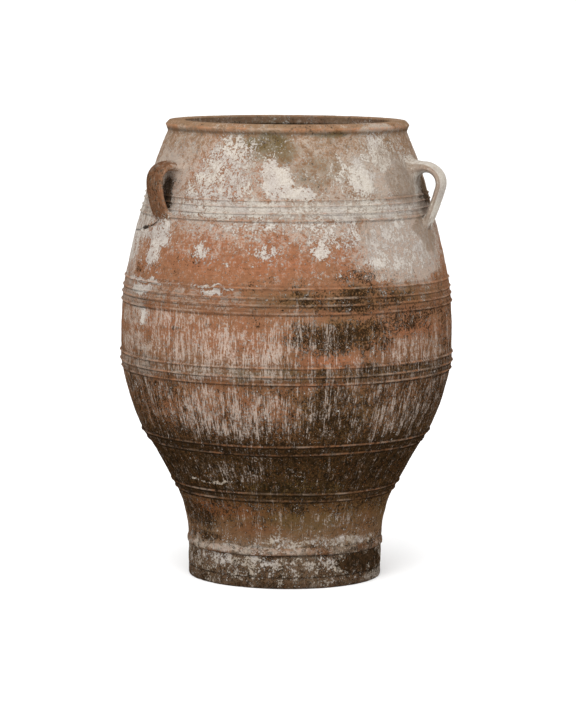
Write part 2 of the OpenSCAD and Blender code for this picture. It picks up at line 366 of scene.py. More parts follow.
# The fired clay's own colour before dirt: height, then how it is seen
CLAY = [
    (0, 112, 92, 74), (24, 130, 108, 86), (70, 134, 112, 92), (83, 160, 142, 122),
    (100, 148, 118, 90), (160, 128, 96, 64), (235, 106, 80, 50), (320, 104, 78, 50),
    (400, 138, 102, 72), (480, 142, 106, 78), (560, 166, 121, 91), (640, 176, 130, 98),
    (740, 180, 132, 100), (830, 180, 146, 120), (900, 176, 144, 118), (990, 180, 148, 118),
    (1000, 182, 150, 120),
]
CLAY_HEIGHTS = [height for height, *_ in CLAY]
CLAY_COLOURS = np.array([seen(*colour) for _, *colour in CLAY])


def clay_colour(azimuth, height):
    """The clay's own colour at each point of the outside."""
    colour = np.stack([np.interp(height, CLAY_HEIGHTS, CLAY_COLOURS[:, i]) for i in range(3)], -1)
    orange = strength("orange", azimuth, height)[:, None]
    warm = np.where(height[:, None] > 300, ORANGE, RED_CLAY)
    return colour + (warm - colour) * orange * 0.75


# ---- relief of the wall --------------------------------------------------------------

# The crack beside the left handle, and its widest spot: (azimuth, height) corners
CRACK = [
    (-53, 822), (-56, 806), (-58, 791), (-62, 780), (-65, 776), (-70, 772), (-76, 764), (-86, 759),
]
CRACK_DEPTH = 2.2
CRACK_HALF = 2.0
CRACK_SPOT = [(-66, 774), (-70, 771)]
CRACK_SPOT_SIZE = 4.5
SLAB_LINE = 24.0         # the joint above the floor slab
# Lines drawn round the wall: height, depth, half width
DRAWN_LINES = [(942.0, 0.8, 1.8), (957.0, 0.8, 1.8), (SLAB_LINE, 1.0, 2.2)]


def hollows(height):
    """How deep in the hollows under and between the ridges each height lies, from 0 to 1, as
    painted shade, partly dirt, with a dark joint line above the slab and painted shadow under the
    ledge.
    """
    deepest = np.zeros(len(height))
    for crest in CRESTS:
        under = bell(height, crest - 4.0, 1.7)
        over = 0.45 * bell(height, crest + 4.6, 2.4)
        deepest = np.maximum(deepest, np.maximum(under, over))
    for band in BANDS:
        crests = ridge_heights(band)
        deepest = np.maximum(deepest, 0.25 * ((height > crests[0]) & (height < crests[-1] - 4)))
    slab = 0.8 * bell(height, SLAB_LINE, 1.5)
    # A dark joint line above the slab, and painted shadow under the ledge.
    slab_line_and_ledge_shade = np.maximum(slab, bell(height, LEDGE_UNDERSIDE, 2.2))
    return np.maximum(deepest * np.interp(height, RIDGE_HEIGHTS, HOLLOW_LEVEL), slab_line_and_ledge_shade)


def near_line(azimuth, height, corners):
    """Distance in mm from each point of the wall to a line of (azimuth, height) corners."""
    best = np.full(len(height), 1e9)
    for (a0, z0), (a1, z1) in zip(corners, corners[1:]):
        scale = math.radians(1) * float(outline_radius((z0 + z1) / 2))
        across, along = (azimuth - a0) * scale, height - z0
        run, rise = (a1 - a0) * scale, z1 - z0
        share = np.clip((across * run + along * rise) / (run * run + rise * rise), 0, 1)
        best = np.minimum(best, np.hypot(across - share * run, along - share * rise))
    return best


def crack(azimuth, height):
    """1 in the crack beside the left handle and its widest spot, and 0 away from it."""
    wobble = 1.2 * noise(place(azimuth, 330.0, height) / 9, seed=18)
    line = step(-near_line(azimuth, height, CRACK) - wobble, -CRACK_HALF, 0.2)
    spot = near_line(azimuth, height, CRACK_SPOT) + wobble
    return np.maximum(line, step(-spot, -CRACK_SPOT_SIZE, -CRACK_SPOT_SIZE + 2))


def dirt_and_shade(azimuth, height):
    """How much of the clay each kind of dirt covers at each point, from 0 to 1, with painted shade
    in the hollows and painted shadow behind the straps among them.
    """
    points = place(azimuth, outline_radius(height), height)
    turned, level = azimuth, height
    drift = cloud(points, 55, 2, seed=11)
    azimuth = (azimuth + 3.0 * drift + 180) % 360 - 180
    height = height + 7.0 * cloud(points, 38, 2, seed=14)
    ragged = cloud(points, 24, 3, seed=20)
    grime = cloud(points, 60, 3, seed=35)
    layers = {}
    for kind, share in BROKEN_UP.items():
        broken = share * (grime if kind in BROADLY else ragged)
        layers[kind] = strength(kind, azimuth, height) + broken
    # Lime is taken away where the dark layer is strongest, so the painted shadow behind the straps
    # stays dark.
    layers["lime"] = layers["lime"] - step(layers["dark"], 0.85, 1.1)
    # Painted shade, partly dirt, in the hollows by the ridges, the dark slab joint, painted shadow
    # under the ledge, and the crack darkened.
    layers["hollow_shade_and_dirt"] = hollows(level) * (0.8 + 0.4 * ragged) + 1.5 * crack(turned, level)
    return layers


def relief(azimuth, height, lime):
    """How far the wall's surface stands out of its outline, in mm."""
    points = place(azimuth, outline_radius(height), height)
    turn = np.radians(azimuth)
    out_of_round = 0.7 * np.sin(2 * turn + 0.6 + height / 300)
    out_of_round += 0.5 * np.sin(3 * turn - height / 180)
    coils = 0.55 * noise(points * [1 / 420, 1 / 420, 1 / 26], seed=41)
    throwing = 0.24 * noise(points * [1 / 260, 1 / 260, 1 / 6], seed=42)
    lumps = 0.6 * noise(points / 42, seed=43) + 0.28 * noise(points / 13, seed=44)
    pits = -1.1 * step(noise(points / 6.5, seed=45), 0.62, 0.85)
    crust = 0.6 * step(lime, 0.6, 0.9)
    split = -CRACK_DEPTH * crack(azimuth, height)
    surface = out_of_round + coils + throwing + lumps + pits + crust + split
    for line, depth, half in DRAWN_LINES:
        surface -= depth * step(-np.abs(height - line - coils), -half, 0)
    return surface


# ---- meshes --------------------------------------------------------------------------


def set_attribute(mesh, name, kind, values):
    attribute = mesh.attributes.new(name, kind, "POINT")
    field = {"FLOAT": "value", "FLOAT_VECTOR": "vector", "FLOAT_COLOR": "color"}[kind]
    attribute.data.foreach_set(field, np.ascontiguousarray(values, np.float32).ravel())


def make_piece(name, points, faces, looks, flat_faces=()):
    """A mesh object from points in mm, with its looks as point attributes."""
    mesh = bpy.data.meshes.new(name)
    mesh.vertices.add(len(points))
    mesh.vertices.foreach_set("co", (points * MM).astype(np.float32).ravel())
    mesh.loops.add(faces.size)
    mesh.loops.foreach_set("vertex_index", faces.astype(np.int32).ravel())
    mesh.polygons.add(len(faces))
    mesh.polygons.foreach_set("loop_start", np.arange(0, faces.size, 4, dtype=np.int32))
    smooth = np.ones(len(faces), bool)
    smooth[list(flat_faces)] = False
    mesh.polygons.foreach_set("use_smooth", smooth)
    mesh.update(calc_edges=True)
    mesh.validate()
    for key, values in looks.items():
        if key == "clay":
            colour = np.concatenate([values, np.ones((len(values), 1))], 1)
            set_attribute(mesh, key, "FLOAT_COLOR", colour)
        elif key == "around":
            set_attribute(mesh, key, "FLOAT_VECTOR", values * MM)
        else:
            set_attribute(mesh, key, "FLOAT", np.clip(values, -0.5, 1.5))
    piece = bpy.data.objects.new(name, mesh)
    bpy.context.scene.collection.objects.link(piece)
    return piece


def grid_faces(rows, columns):
    """Quads of a closed grid: each row is a ring, and the last row joins the first."""
    row = np.arange(rows)[:, None]
    column = np.arange(columns)[None, :]
    next_row, next_column = (row + 1) % rows, (column + 1) % columns
    corners = [
        row * columns + column, row * columns + next_column,
        next_row * columns + next_column, next_row * columns + column,
    ]
    return np.stack(corners, -1).reshape(-1, 4)


# Level of each kind of dirt inside the jar, and how much it swings up and down
INSIDE_DIRT = {
    "lime": (0.42, -0.3), "haze": (0.35, -0.2), "streak": (0.3, -0.1), "dark": (0.42, 0.35),
    "moss": (0.35, 0.2), "wash": (0.1, 0.0), "hollow_shade_and_dirt": (0.0, 0.0),
}


def wall_looks(azimuth, height):
    """Clay colour, dirt and painted shade for points of the wall's outside."""
    looks = dirt_and_shade(azimuth, height)
    looks["clay"] = clay_colour(azimuth, height)
    looks["around"] = place(azimuth, UNROLLED_R, height)
    looks["wear_and_highlight"] = np.zeros(len(height))
    return looks


def dust(looks, inside, azimuth, height):
    """Makes the looks of the points inside the jar plain and dusty."""
    looks["clay"][inside] = INSIDE_CLAY
    stains = cloud(place(azimuth, 300.0, height), 46, 3, seed=58)
    for key, (level, swing) in INSIDE_DIRT.items():
        looks[key][inside] = (level + swing * stains)[inside]


def ring_grid(outline):
    """Azimuth, radius and height of every point of a ring, from its closed outline of (r, z)."""
    outline = np.asarray(outline, float)
    turns = np.arange(COLUMNS) * 360.0 / COLUMNS - 180
    azimuth = np.tile(turns, len(outline))
    radius = np.repeat(outline[:, 0], COLUMNS)
    height = np.repeat(outline[:, 1], COLUMNS)
    return azimuth, radius, height


def make_ring(name, azimuth, radius, height, looks, flat_faces=()):
    """A piece that goes all round the jar, from the points of its closed outline."""
    faces = grid_faces(len(height) // COLUMNS, COLUMNS)
    return make_piece(name, place(azimuth, radius, height), faces, looks, flat_faces)


def ring_faces(row):
    """The faces between one row of a ring and the next."""
    return range(row * COLUMNS, (row + 1) * COLUMNS)


def make_drum(name, low, high):
    """One drum of the wall: its outside carries the relief, its inside gentle finger marks."""
    outer_z = np.linspace(low, high, max(3, round((high - low) / ROW_STEP) + 1))
    inner_z = np.linspace(high, low, max(3, round((high - low) / INNER_ROW_STEP) + 1))
    inner_r = outline_radius(inner_z) - wall_thickness(inner_z)
    outline = np.concatenate([
        np.stack([outline_radius(outer_z), outer_z], -1), np.stack([inner_r, inner_z], -1),
    ])
    azimuth, radius, height = ring_grid(outline)
    outside = np.arange(len(height)) < len(outer_z) * COLUMNS
    looks = wall_looks(azimuth, height)
    dust(looks, ~outside, azimuth, height)
    surface = relief(azimuth, height, looks["lime"])
    points = place(azimuth, radius, height)
    finger_marks = 1.2 * noise(points * [1 / 300, 1 / 300, 1 / 24], seed=51)
    radius = radius + np.where(outside, surface, finger_marks)
    flat = [*ring_faces(len(outer_z) - 1), *ring_faces(len(outline) - 1)]
    return make_ring(name, azimuth, radius, height, looks, flat)


def ridge_profile(height, crests):
    """How proud a ridged band stands at each height, and how near each height is to a crest."""
    low, high = crests[0] - RIDGE_HALF, crests[-1] + RIDGE_HALF
    proud = np.where((height > low) & (height < high), FLUTE_PROUD, -1.5)
    nearness = np.zeros(len(height))
    for crest in crests:
        away = (height - crest) / RIDGE_HALF
        side = np.where(away < 0, np.clip(1 + away * 1.15, 0, 1), np.clip(1 - away, 0, 1))
        rise = np.sin(side * math.pi / 2) ** 1.5
        proud = np.maximum(proud, -1.0 + (RIDGE_PROUD + 1.0) * rise)
        nearness = np.maximum(nearness, rise)
    return proud, nearness


def make_band(name):
    """A ridged band of clay, laid round the wall by hand, so it wanders a little."""
    crests = ridge_heights(name)
    low, high = crests[0] - RIDGE_HALF - 1, crests[-1] + RIDGE_HALF + 1
    rows = np.linspace(low, high, round((high - low) / BAND_STEP) + 1)
    proud, nearness = ridge_profile(rows, crests)
    back = np.linspace(high, low, 6)
    outline = np.concatenate([
        np.stack([outline_radius(rows) + proud, rows], -1),
        np.stack([outline_radius(back) - BAND_ROOT, back], -1),
    ])
    azimuth, radius, height = ring_grid(outline)
    front = np.arange(len(height)) < len(rows) * COLUMNS
    turn = np.radians(azimuth)
    wander = 0.9 * np.sin(turn * 2 + low) + 0.6 * np.sin(turn * 5 + low / 7)
    height = height + wander
    looks = wall_looks(azimuth, height)
    surface = relief(azimuth, height, looks["lime"])
    crest = np.concatenate([np.repeat(nearness, COLUMNS), np.zeros(len(back) * COLUMNS)])
    points = place(azimuth, radius, height)
    worn = step(noise(points / 30, seed=61) + 0.5 * noise(points / 9, seed=62), -0.1, 0.9)
    radius = radius + np.where(front, surface - 0.9 * worn * crest, 0)
    patchy = step(noise(points / 70, seed=63) + 0.6 * noise(points / 22, seed=64), -0.5, 0.6)
    # Crests paled, partly wear and partly a painted highlight.
    looks["wear_and_highlight"] = crest * np.interp(height, RIDGE_HEIGHTS, CREST_LEVEL) * (0.3 + patchy)
    return make_ring(name + "_ridges", azimuth, radius, height, looks)


def rounded(corners, spacing):
    """A closed outline through (r, z, rounding) corners, with arcs at the corners."""
    outline = []
    count = len(corners)
    for i, (r, z, rounding) in enumerate(corners):
        here = np.array([r, z], float)
        before = np.array(corners[i - 1][:2], float) - here
        after = np.array(corners[(i + 1) % count][:2], float) - here
        reach = min(rounding, 0.49 * np.linalg.norm(before), 0.49 * np.linalg.norm(after))
        start = here + before / np.linalg.norm(before) * reach
        stop = here + after / np.linalg.norm(after) * reach
        pieces = max(1, math.ceil(reach / spacing)) if reach > 0 else 0
        for share in np.linspace(0, 1, pieces + 1):
            arc = (1 - share) ** 2 * start + 2 * share * (1 - share) * here + share ** 2 * stop
            outline.append(arc)
    filled = []
    for here, after in zip(outline, outline[1:] + outline[:1]):
        steps = max(1, math.ceil(np.linalg.norm(after - here) / spacing))
        filled += [here + (after - here) * k / steps for k in range(steps)]
    return np.array(filled)


LIP_TOP_EDGE = 257.0     # outer edge of the lip's flat top
LIP_OUTSIDE = 265.5      # the lip's widest radius
LIP_WIDEST = 9.5         # below the top
LIP_UNDERSIDE = 23.0     # below the top, where the lip turns in to the neck
LIP_HOLLOW = 18.0        # below the top, in the hollow under the lip, where its painted shade is darkest
MOUTH_WALL = 18.0        # length of the straight wall inside the mouth


def make_lip():
    """The lip: a flat top, a short bevel out to a worn edge, paled partly by wear and partly by a
    painted highlight, and a hollowed underside with painted shade.
    """
    mouth = min(np.hypot(*cad_points("rim_lip")[:, :2].T))
    seam_z, seam_r = SEAM_Z[-1], SEAM_R[-1]
    inside = seam_r - float(wall_thickness(seam_z))
    outline = rounded([
        (seam_r, seam_z, 0), (seam_r - 0.4, JAR_TOP - LIP_UNDERSIDE, 6),
        (seam_r + 1.8, JAR_TOP - 15, 6), (LIP_OUTSIDE, JAR_TOP - LIP_WIDEST, 1.8),
        (LIP_TOP_EDGE, JAR_TOP, 2.2), (mouth, JAR_TOP, 3),
        (mouth, JAR_TOP - MOUTH_WALL, 3), (inside, seam_z, 0),
    ], 1.2)
    azimuth, radius, height = ring_grid(outline)
    looks = wall_looks(azimuth, height)
    points = place(azimuth, radius, height)
    outer = radius > (LIP_TOP_EDGE + mouth) / 2
    dents = 0.5 * cloud(points, 30, 2, seed=71) - 0.9 * step(noise(points / 8, seed=73), 0.5, 0.9)
    edge = step(radius, LIP_OUTSIDE - 4, LIP_OUTSIDE)
    dents = dents - 1.3 * edge * step(noise(points / 7, seed=74), 0.35, 0.8)
    turn = np.radians(azimuth)
    round_error = 0.7 * np.sin(2 * turn + 3.9) + 0.5 * np.sin(3 * turn - 5.5)
    low = 1 - step(height, seam_z, seam_z + 8)
    wall = relief(azimuth, height, looks["lime"])
    outer_shift = (dents + round_error) * (1 - low) + wall * low
    radius = radius + np.where(outer, outer_shift, 0.5 * dents - 0.5)
    flat_top = height > JAR_TOP - 0.5
    height = height - np.where(flat_top, np.abs(dents) * 0.8, 0)
    deep = (radius < LIP_TOP_EDGE - 12) & (height < JAR_TOP - 3)
    looks["clay"][deep] = INSIDE_CLAY
    # Painted shade in the hollow under the lip.
    looks["hollow_shade_and_dirt"] = 0.55 * bell(height, JAR_TOP - LIP_HOLLOW, 4.5) * outer
    # The outer edge is paled, partly wear and partly a painted highlight.
    looks["wear_and_highlight"] = edge * 0.9
    return make_ring("lip_visual", azimuth, radius, height, looks)


def make_ledge():
    """The soft rolled coil at the top of the foot."""
    low, high = LEDGE_UNDERSIDE, LEDGE_TOP
    wall = float(outline_radius((low + high) / 2))
    outline = rounded([
        (wall - BAND_ROOT, low, 0), (wall + 2.2, low, 1.2), (wall + 3.0, low + 5, 5),
        (wall + 2.4, low + 12, 6), (wall - 1.2, high + 2, 6), (wall - BAND_ROOT, high, 0),
    ], 1.2)
    azimuth, radius, height = ring_grid(outline)
    looks = wall_looks(azimuth, height)
    front = radius > wall - 2
    turn = np.radians(azimuth)
    height = height + 1.2 * np.sin(turn * 3 + 1) + 0.7 * np.sin(turn * 7)
    surface = relief(azimuth, height, looks["lime"])
    radius = radius + np.where(front, surface, 0)
    # The coil's front is paled, partly wear and partly a painted highlight.
    looks["wear_and_highlight"] = np.where(front, 0.35, 0)
    return make_ring("ledge_visual", azimuth, radius, height, looks)


SLAB_EDGE = 4.0          # rounding of the slab's bottom edge
SLAB_RINGS = [150.0, 100.0, 50.0, 4.0]


def make_slab():
    """The floor slab: a disc with a worn bottom edge, whose top is the floor inside."""
    foot, top = SEAM_R[0], SEAM_Z[1]
    outer = rounded([
        (foot - 30, 0, 0), (foot, 0, SLAB_EDGE), (foot, top, 0), (foot - 30, top, 0),
    ], ROW_STEP)
    under = [(r, 0.0) for r in reversed(SLAB_RINGS)]
    over = [(r, top) for r in SLAB_RINGS]
    outline = np.array(under + [tuple(p) for p in outer] + over)
    azimuth, radius, height = ring_grid(outline)
    looks = wall_looks(azimuth, height)
    edge = step(radius, foot - 12, foot - 2)
    surface = relief(azimuth, height, looks["lime"])
    radius = radius + surface * edge
    sides = (height > 0.1) & (height < top - 0.1)
    chips = step(cloud(place(azimuth, radius, height), 16, 3, seed=81), 0.2, 0.9)
    radius = radius - np.where(height < 6, 2.0 * chips * edge, 0)
    inside = (height > top - 0.1) & (radius < foot - 20)
    looks["clay"][inside] = INSIDE_CLAY
    looks["dark"] = np.where(sides, looks["dark"], 0.45)
    return make_ring("slab_visual", azimuth, radius, height, looks)


# ---- handles -------------------------------------------------------------------------

# Radius of each strap's top bend and of the slower bend below it, and the degrees past upright
# that the top bend turns, as in the CAD model. Then, of the pulled clay: half width, how far the
# level run droops towards the bend, how much it widens at its lower root, how much thicker it is
# at its upper root, how far a brace of clay runs down from there, the length of its pinched tail,
# and the depth of the groove down to that.
HANDLES = {
    "left": {
        "top_bend": 34, "lower_bend": 150, "lean": 0, "half_width": 31, "droop": 0.0,
        "widen": 4, "thicken": 0.7, "brace": 4, "tail": 0, "groove": 0.0,
    },
    "right": {
        "top_bend": 38, "lower_bend": 600, "lean": 16.26, "half_width": 28, "droop": 2.0,
        "widen": -6, "thicken": 1.35, "brace": 16, "tail": 44, "groove": 5.5,
    },
    "rear": {
        "top_bend": 36, "lower_bend": 130, "lean": 0, "half_width": 28, "droop": 1.0,
        "widen": 3, "thicken": 0.7, "brace": 4, "tail": 6, "groove": 1.0,
    },
}
STRAP_HALF_THICK = 8.5
TOP_ROOT_FADES = 24.0    # how far along a strap the thickening at its upper root dies away
ROOT_DEPTH = 12.0        # how deep a strap's ends run into the wall
UPPER_SPREAD, LOWER_SPREAD = 15.0, 12.0
UPPER_CLIMB, LOWER_CLIMB = 17.0, 15.0


def strap_data(side):
    """Where a strap lies, from its CAD node: its azimuth, reach, height and root."""
    points = cad_points(side + "_handle")
    turns = azimuth_of(points) % 360
    if turns.max() - turns.min() > 180:
        turns = (turns + 180) % 360 - 180
    data = SimpleNamespace(side=side, **HANDLES[side])
    data.azimuth = float(turns.min() + turns.max()) / 2
    turn = math.radians(data.azimuth)
    outward = points[:, 0] * math.sin(turn) - points[:, 1] * math.cos(turn)
    data.reach = float(outward.max()) - STRAP_HALF_THICK
    data.top = float(points[:, 2].max()) - STRAP_HALF_THICK
    data.start = float(outline_radius(data.top)) - ROOT_DEPTH
    data.lean = math.radians(data.lean)
    wider = data.lower_bend - data.top_bend
    data.slow_r = data.reach - data.top_bend - wider * math.cos(data.lean)
    data.slow_z = data.top - data.top_bend + wider * math.sin(data.lean)
    angles = data.lean + np.linspace(0, 1.2, 2400)
    slow_r = data.slow_r + data.lower_bend * np.cos(angles)
    slow_z = data.slow_z - data.lower_bend * np.sin(angles)
    inside = slow_r < outline_radius(slow_z) - ROOT_DEPTH
    fall = float(angles[np.argmax(inside)]) - data.lean
    run = data.reach - data.top_bend - data.start
    bend = data.top_bend * (math.pi / 2 + data.lean)
    data.lengths = [run, bend, data.lower_bend * fall]
    data.total = sum(data.lengths)
    return data


def strap_line(data, along):
    """Centre line of a strap in its own plane: radius, height, and outward side of the curve."""
    run, bend, _ = data.lengths
    along = np.asarray(along, float)
    quick, slow, upright = data.top_bend, data.lower_bend, math.pi / 2 + data.lean
    first = np.clip((along - run) / quick, 0, upright)
    second = data.lean + np.clip((along - run - bend) / slow, 0, None)
    bend_r, bend_z = data.reach - quick, data.top - quick
    radius = np.where(along < run, data.start + along, bend_r + quick * np.sin(first))
    height = np.where(along < run, data.top, bend_z + quick * np.cos(first))
    past = along > run + bend
    radius = np.where(past, data.slow_r + slow * np.cos(second), radius)
    height = np.where(past, data.slow_z - slow * np.sin(second), height)
    turned = np.where(past, math.pi / 2 + second, first)
    share = np.clip(along / (run + bend), 0, 1)
    height = height - data.droop * np.sin(share * math.pi) ** 2 * np.where(past, 0, 1)
    droop_root = STRAP_HALF_THICK * data.thicken * fading(along - ROOT_DEPTH, TOP_ROOT_FADES)
    return radius, height - 0.75 * droop_root, np.sin(turned), np.cos(turned)


def strap_surface(data, along, around):
    """Points of a strap's surface in mm: along its centre line, and around it in radians."""
    radius, height, out_r, out_z = strap_line(data, along)
    to_root = data.total - ROOT_DEPTH - along
    top_root = fading(along - ROOT_DEPTH, TOP_ROOT_FADES)
    low_root = fading(np.abs(to_root), 16)
    half_thick = STRAP_HALF_THICK * (1 + data.thicken * top_root + 0.15 * low_root)
    half_width = data.half_width * (0.97 + 0.06 * top_root) + data.widen * low_root
    power = 2 / STRAP_SQUARENESS
    up, side = np.cos(around), np.sin(around)
    thick = half_thick * np.sign(up) * np.abs(up) ** power
    wide = half_width * np.sign(side) * np.abs(side) ** power
    thick = thick * (1 - 0.06 * (wide / half_width) ** 2)
    groove = bell(wide, 0, 6) * fading(to_root, 22)
    thick = thick - data.groove * groove * (up > 0)
    radius, height = radius + out_r * thick, height + out_z * thick
    turn = math.radians(data.azimuth)
    return np.stack([
        radius * math.sin(turn) + wide * math.cos(turn),
        -radius * math.cos(turn) + wide * math.sin(turn),
        height,
    ], -1)


def strap_looks(data, points, along, around):
    """Clay colour and dirt of a strap and its pads, by side."""
    looks = dirt_and_shade(azimuth_of(points), points[:, 2])
    rough = cloud(points, 16, 4, seed=91)
    outer = step(np.cos(around), -0.1, 0.7)
    edge = np.abs(np.sin(around)) ** 8
    root = fading(np.minimum(along, data.total - along), 26)
    if data.side == "left":
        clay = seen(172, 132, 102) + (seen(142, 104, 78) - seen(172, 132, 102)) * outer[:, None]
        looks["lime"] = -0.1 + 0.1 * rough + 0.6 * step(along, data.total - 40, data.total)
        start = fading(along, 30)
        looks["dark"] = (0.24 + 0.2 * rough + 0.12 * outer) * (1 - start)
        looks["haze"] = 0.12 + 0.3 * rough + 0.3 * root + 0.7 * start
        looks["wash"] = np.full(len(along), 0.2)
    elif data.side == "right":
        clay = np.tile(seen(240, 230, 214), (len(along), 1))
        side = np.abs(np.sin(around))
        seam = bell(side, 0.93, 0.08) + bell(side, 0.2, 0.08) * (1 - outer)
        looks["lime"] = 0.98 + 0.2 * rough - 0.35 * seam
        looks["dark"] = 0.05 + 0.2 * rough + 0.24 * seam
        looks["haze"] = 0.25 + 0.3 * rough
        looks["wash"] = 0.1 + 0.3 * rough + 0.45 * root + 1.0 * seam
    else:
        clay = np.tile(seen(172, 138, 112), (len(along), 1))
        looks["lime"] = 0.42 + 0.35 * rough
        looks["dark"] = 0.2 + 0.3 * rough
        looks["haze"] = 0.45 + 0.3 * rough
        looks["wash"] = 0.35 + 0.3 * rough
    looks["hollow_shade_and_dirt"] = np.zeros(len(along))
    looks["streak"] = np.full(len(along), 0.1)
    looks["moss"] = 0.15 + 0.15 * rough
    looks["clay"] = clay * (1 + 0.1 * rough[:, None])
    turn = around / (2 * math.pi) * 120
    looks["around"] = np.stack([turn, points[:, 0] * 0.3, along], -1)
    looks["wear_and_highlight"] = 0.2 * edge
    return looks


def strap_relief(points, lime):
    """Small dents and finger marks of a pulled handle, in mm outwards."""
    dents = 0.5 * noise(points / 24, seed=95) + 0.25 * noise(points / 8, seed=96)
    pits = -0.7 * step(noise(points / 4, seed=97), 0.55, 0.85)
    return dents + pits + 0.4 * step(lime, 0.6, 0.9)


def tube_faces(rings, count):
    """Quads along an open tube, with each end closed by folding its ring onto itself."""
    sides = grid_faces(rings, count)[:(rings - 1) * count]
    half = count // 2
    pair = np.arange(half - 1)
    start = np.stack([pair, (count - pair) % count, (count - pair - 1) % count, pair + 1], -1)
    last = (rings - 1) * count
    stop = np.stack([pair, pair + 1, (count - pair - 1) % count, (count - pair) % count], -1) + last
    # At the tips of the ends two corners are the same point, so those quads are left out
    caps = [quad for quad in np.concatenate([start, stop]) if len(set(quad)) == 4]
    return np.concatenate([sides, np.array(caps)])


def make_strap(data):
    """A pulled strap handle, with its ends inside the wall."""
    rings = round(data.total / STRAP_STEP) + 1
    along = np.repeat(np.linspace(0, data.total, rings), STRAP_POINTS)
    around = np.tile(np.arange(STRAP_POINTS) * 2 * math.pi / STRAP_POINTS, rings)
    points = strap_surface(data, along, around)
    looks = strap_looks(data, points, along, around)
    radius, height, _, _ = strap_line(data, along)
    outward = points - place(data.azimuth, radius, height)
    outward /= np.linalg.norm(outward, axis=1)[:, None]
    points = points + outward * strap_relief(points, looks["lime"])[:, None]
    return make_piece(data.side + "_strap", points, tube_faces(rings, STRAP_POINTS), looks)


def wall_gap(points):
    """How far points lie outside the wall's surface, in mm."""
    azimuth = azimuth_of(points)
    lime = dirt_and_shade(azimuth, points[:, 2])["lime"]
    surface = outline_radius(points[:, 2]) + relief(azimuth, points[:, 2], lime)
    return np.hypot(points[:, 0], points[:, 1]) - surface


def push_to_wall(points, depth):
    """The same points moved level with the wall's surface, depth below it."""
    gap = wall_gap(points)
    distance = np.hypot(points[:, 0], points[:, 1])
    return points * np.stack([1 - (gap + depth) / distance] * 2 + [np.ones(len(gap))], -1)


PAD_POINTS = 96          # points round a pad
PAD_ROWS = 14            # rows from the wall up to the strap
INNER_ROWS = 3           # rows behind them, in the strap and the wall
HALVINGS = 18            # steps in the search for where a strap meets the wall


def find_root(data, upper, around):
    """How far along the strap each line of its surface leaves or enters the wall."""
    low, high = np.zeros(len(around)), np.full(len(around), data.total * 0.45)
    for _ in range(HALVINGS):
        middle = (low + high) / 2
        reach = middle if upper else data.total - middle
        outside = wall_gap(strap_surface(data, reach, around)) > 0
        high, low = np.where(outside, middle, high), np.where(outside, low, middle)
    return high if upper else data.total - high


def pad_rows(data, upper, root, around):
    """Rows of a pad's points, from the wall to the strap and back inside, and its outward side."""
    spread, climb = (UPPER_SPREAD, UPPER_CLIMB) if upper else (LOWER_SPREAD, -LOWER_CLIMB)
    corner = strap_surface(data, root, around)
    centre = (corner + strap_surface(data, root, around + math.pi)) / 2
    outward = corner - centre
    outward /= np.linalg.norm(outward, axis=1)[:, None]
    below = step(-outward[:, 2], 0, 0.6)
    ragged = 1 + 0.22 * noise(corner / 12, seed=101)
    if upper:
        tail = data.brace * below * np.abs(np.cos(around))
    else:
        tail = data.tail * below * (1 - np.abs(np.sin(around))) ** 1.5
    foot = push_to_wall(corner + outward * (spread * ragged + tail)[:, None], 1.0)
    climbed = strap_surface(data, root + climb * ragged, around)
    opposite = strap_surface(data, root + climb, around + math.pi)
    top = climbed - (climbed - opposite) * 0.012
    bend = corner + (foot - corner) * 0.06 + (top - corner) * 0.06
    rows = [
        (1 - share) ** 2 * foot + 2 * share * (1 - share) * bend + share ** 2 * top
        for share in np.linspace(0, 1, PAD_ROWS)
    ]
    inner = corner + (centre - corner) * 0.25
    deep = push_to_wall(corner, 7.0)
    rows += [inner * 0.5 + top * 0.5 + (centre - corner) * 0.1, inner, deep]
    return rows, outward


def pad_looks(data, upper, points, root, around, blend):
    """A pad looks like the wall at its foot and like the strap where it meets that."""
    looks = strap_looks(data, points, root, around)
    wall = wall_looks(azimuth_of(points), points[:, 2])
    for key, values in wall.items():
        share = blend[:, None] if values.ndim == 2 else blend
        looks[key] = values + (looks[key] - values) * share
    looks["around"] = wall["around"]
    if not upper:
        # Painted shade in the crease of the groove down the strap's tail.
        crease = bell(np.sin(around), 0, 0.24) * (np.cos(around) > 0)
        looks["hollow_shade_and_dirt"] = looks["hollow_shade_and_dirt"] + crease * data.groove * 0.06 * step(blend, 0, 0.2)
    return looks


def make_pad(data, end):
    """The clay pressed round one root of a strap: a fillet from the wall up to the strap."""
    upper = end == "upper"
    around = np.arange(PAD_POINTS) * 2 * math.pi / PAD_POINTS
    root = find_root(data, upper, around)
    rows, outward = pad_rows(data, upper, root, around)
    points = np.concatenate(rows)
    root, around = np.tile(root, len(rows)), np.tile(around, len(rows))
    blend = np.repeat([*np.linspace(0, 1, PAD_ROWS), *np.ones(INNER_ROWS)], PAD_POINTS)
    looks = pad_looks(data, upper, points, root, around, blend)
    front = np.repeat([1] * PAD_ROWS + [0] * INNER_ROWS, PAD_POINTS)
    lumps = 0.5 * noise(points / 11, seed=103) * front * np.sin(blend * math.pi)
    points = points + np.tile(outward, (len(rows), 1)) * lumps[:, None]
    return make_piece(f"{data.side}_{end}_root", points, grid_faces(len(rows), PAD_POINTS), looks)


# ---- materials -----------------------------------------------------------------------


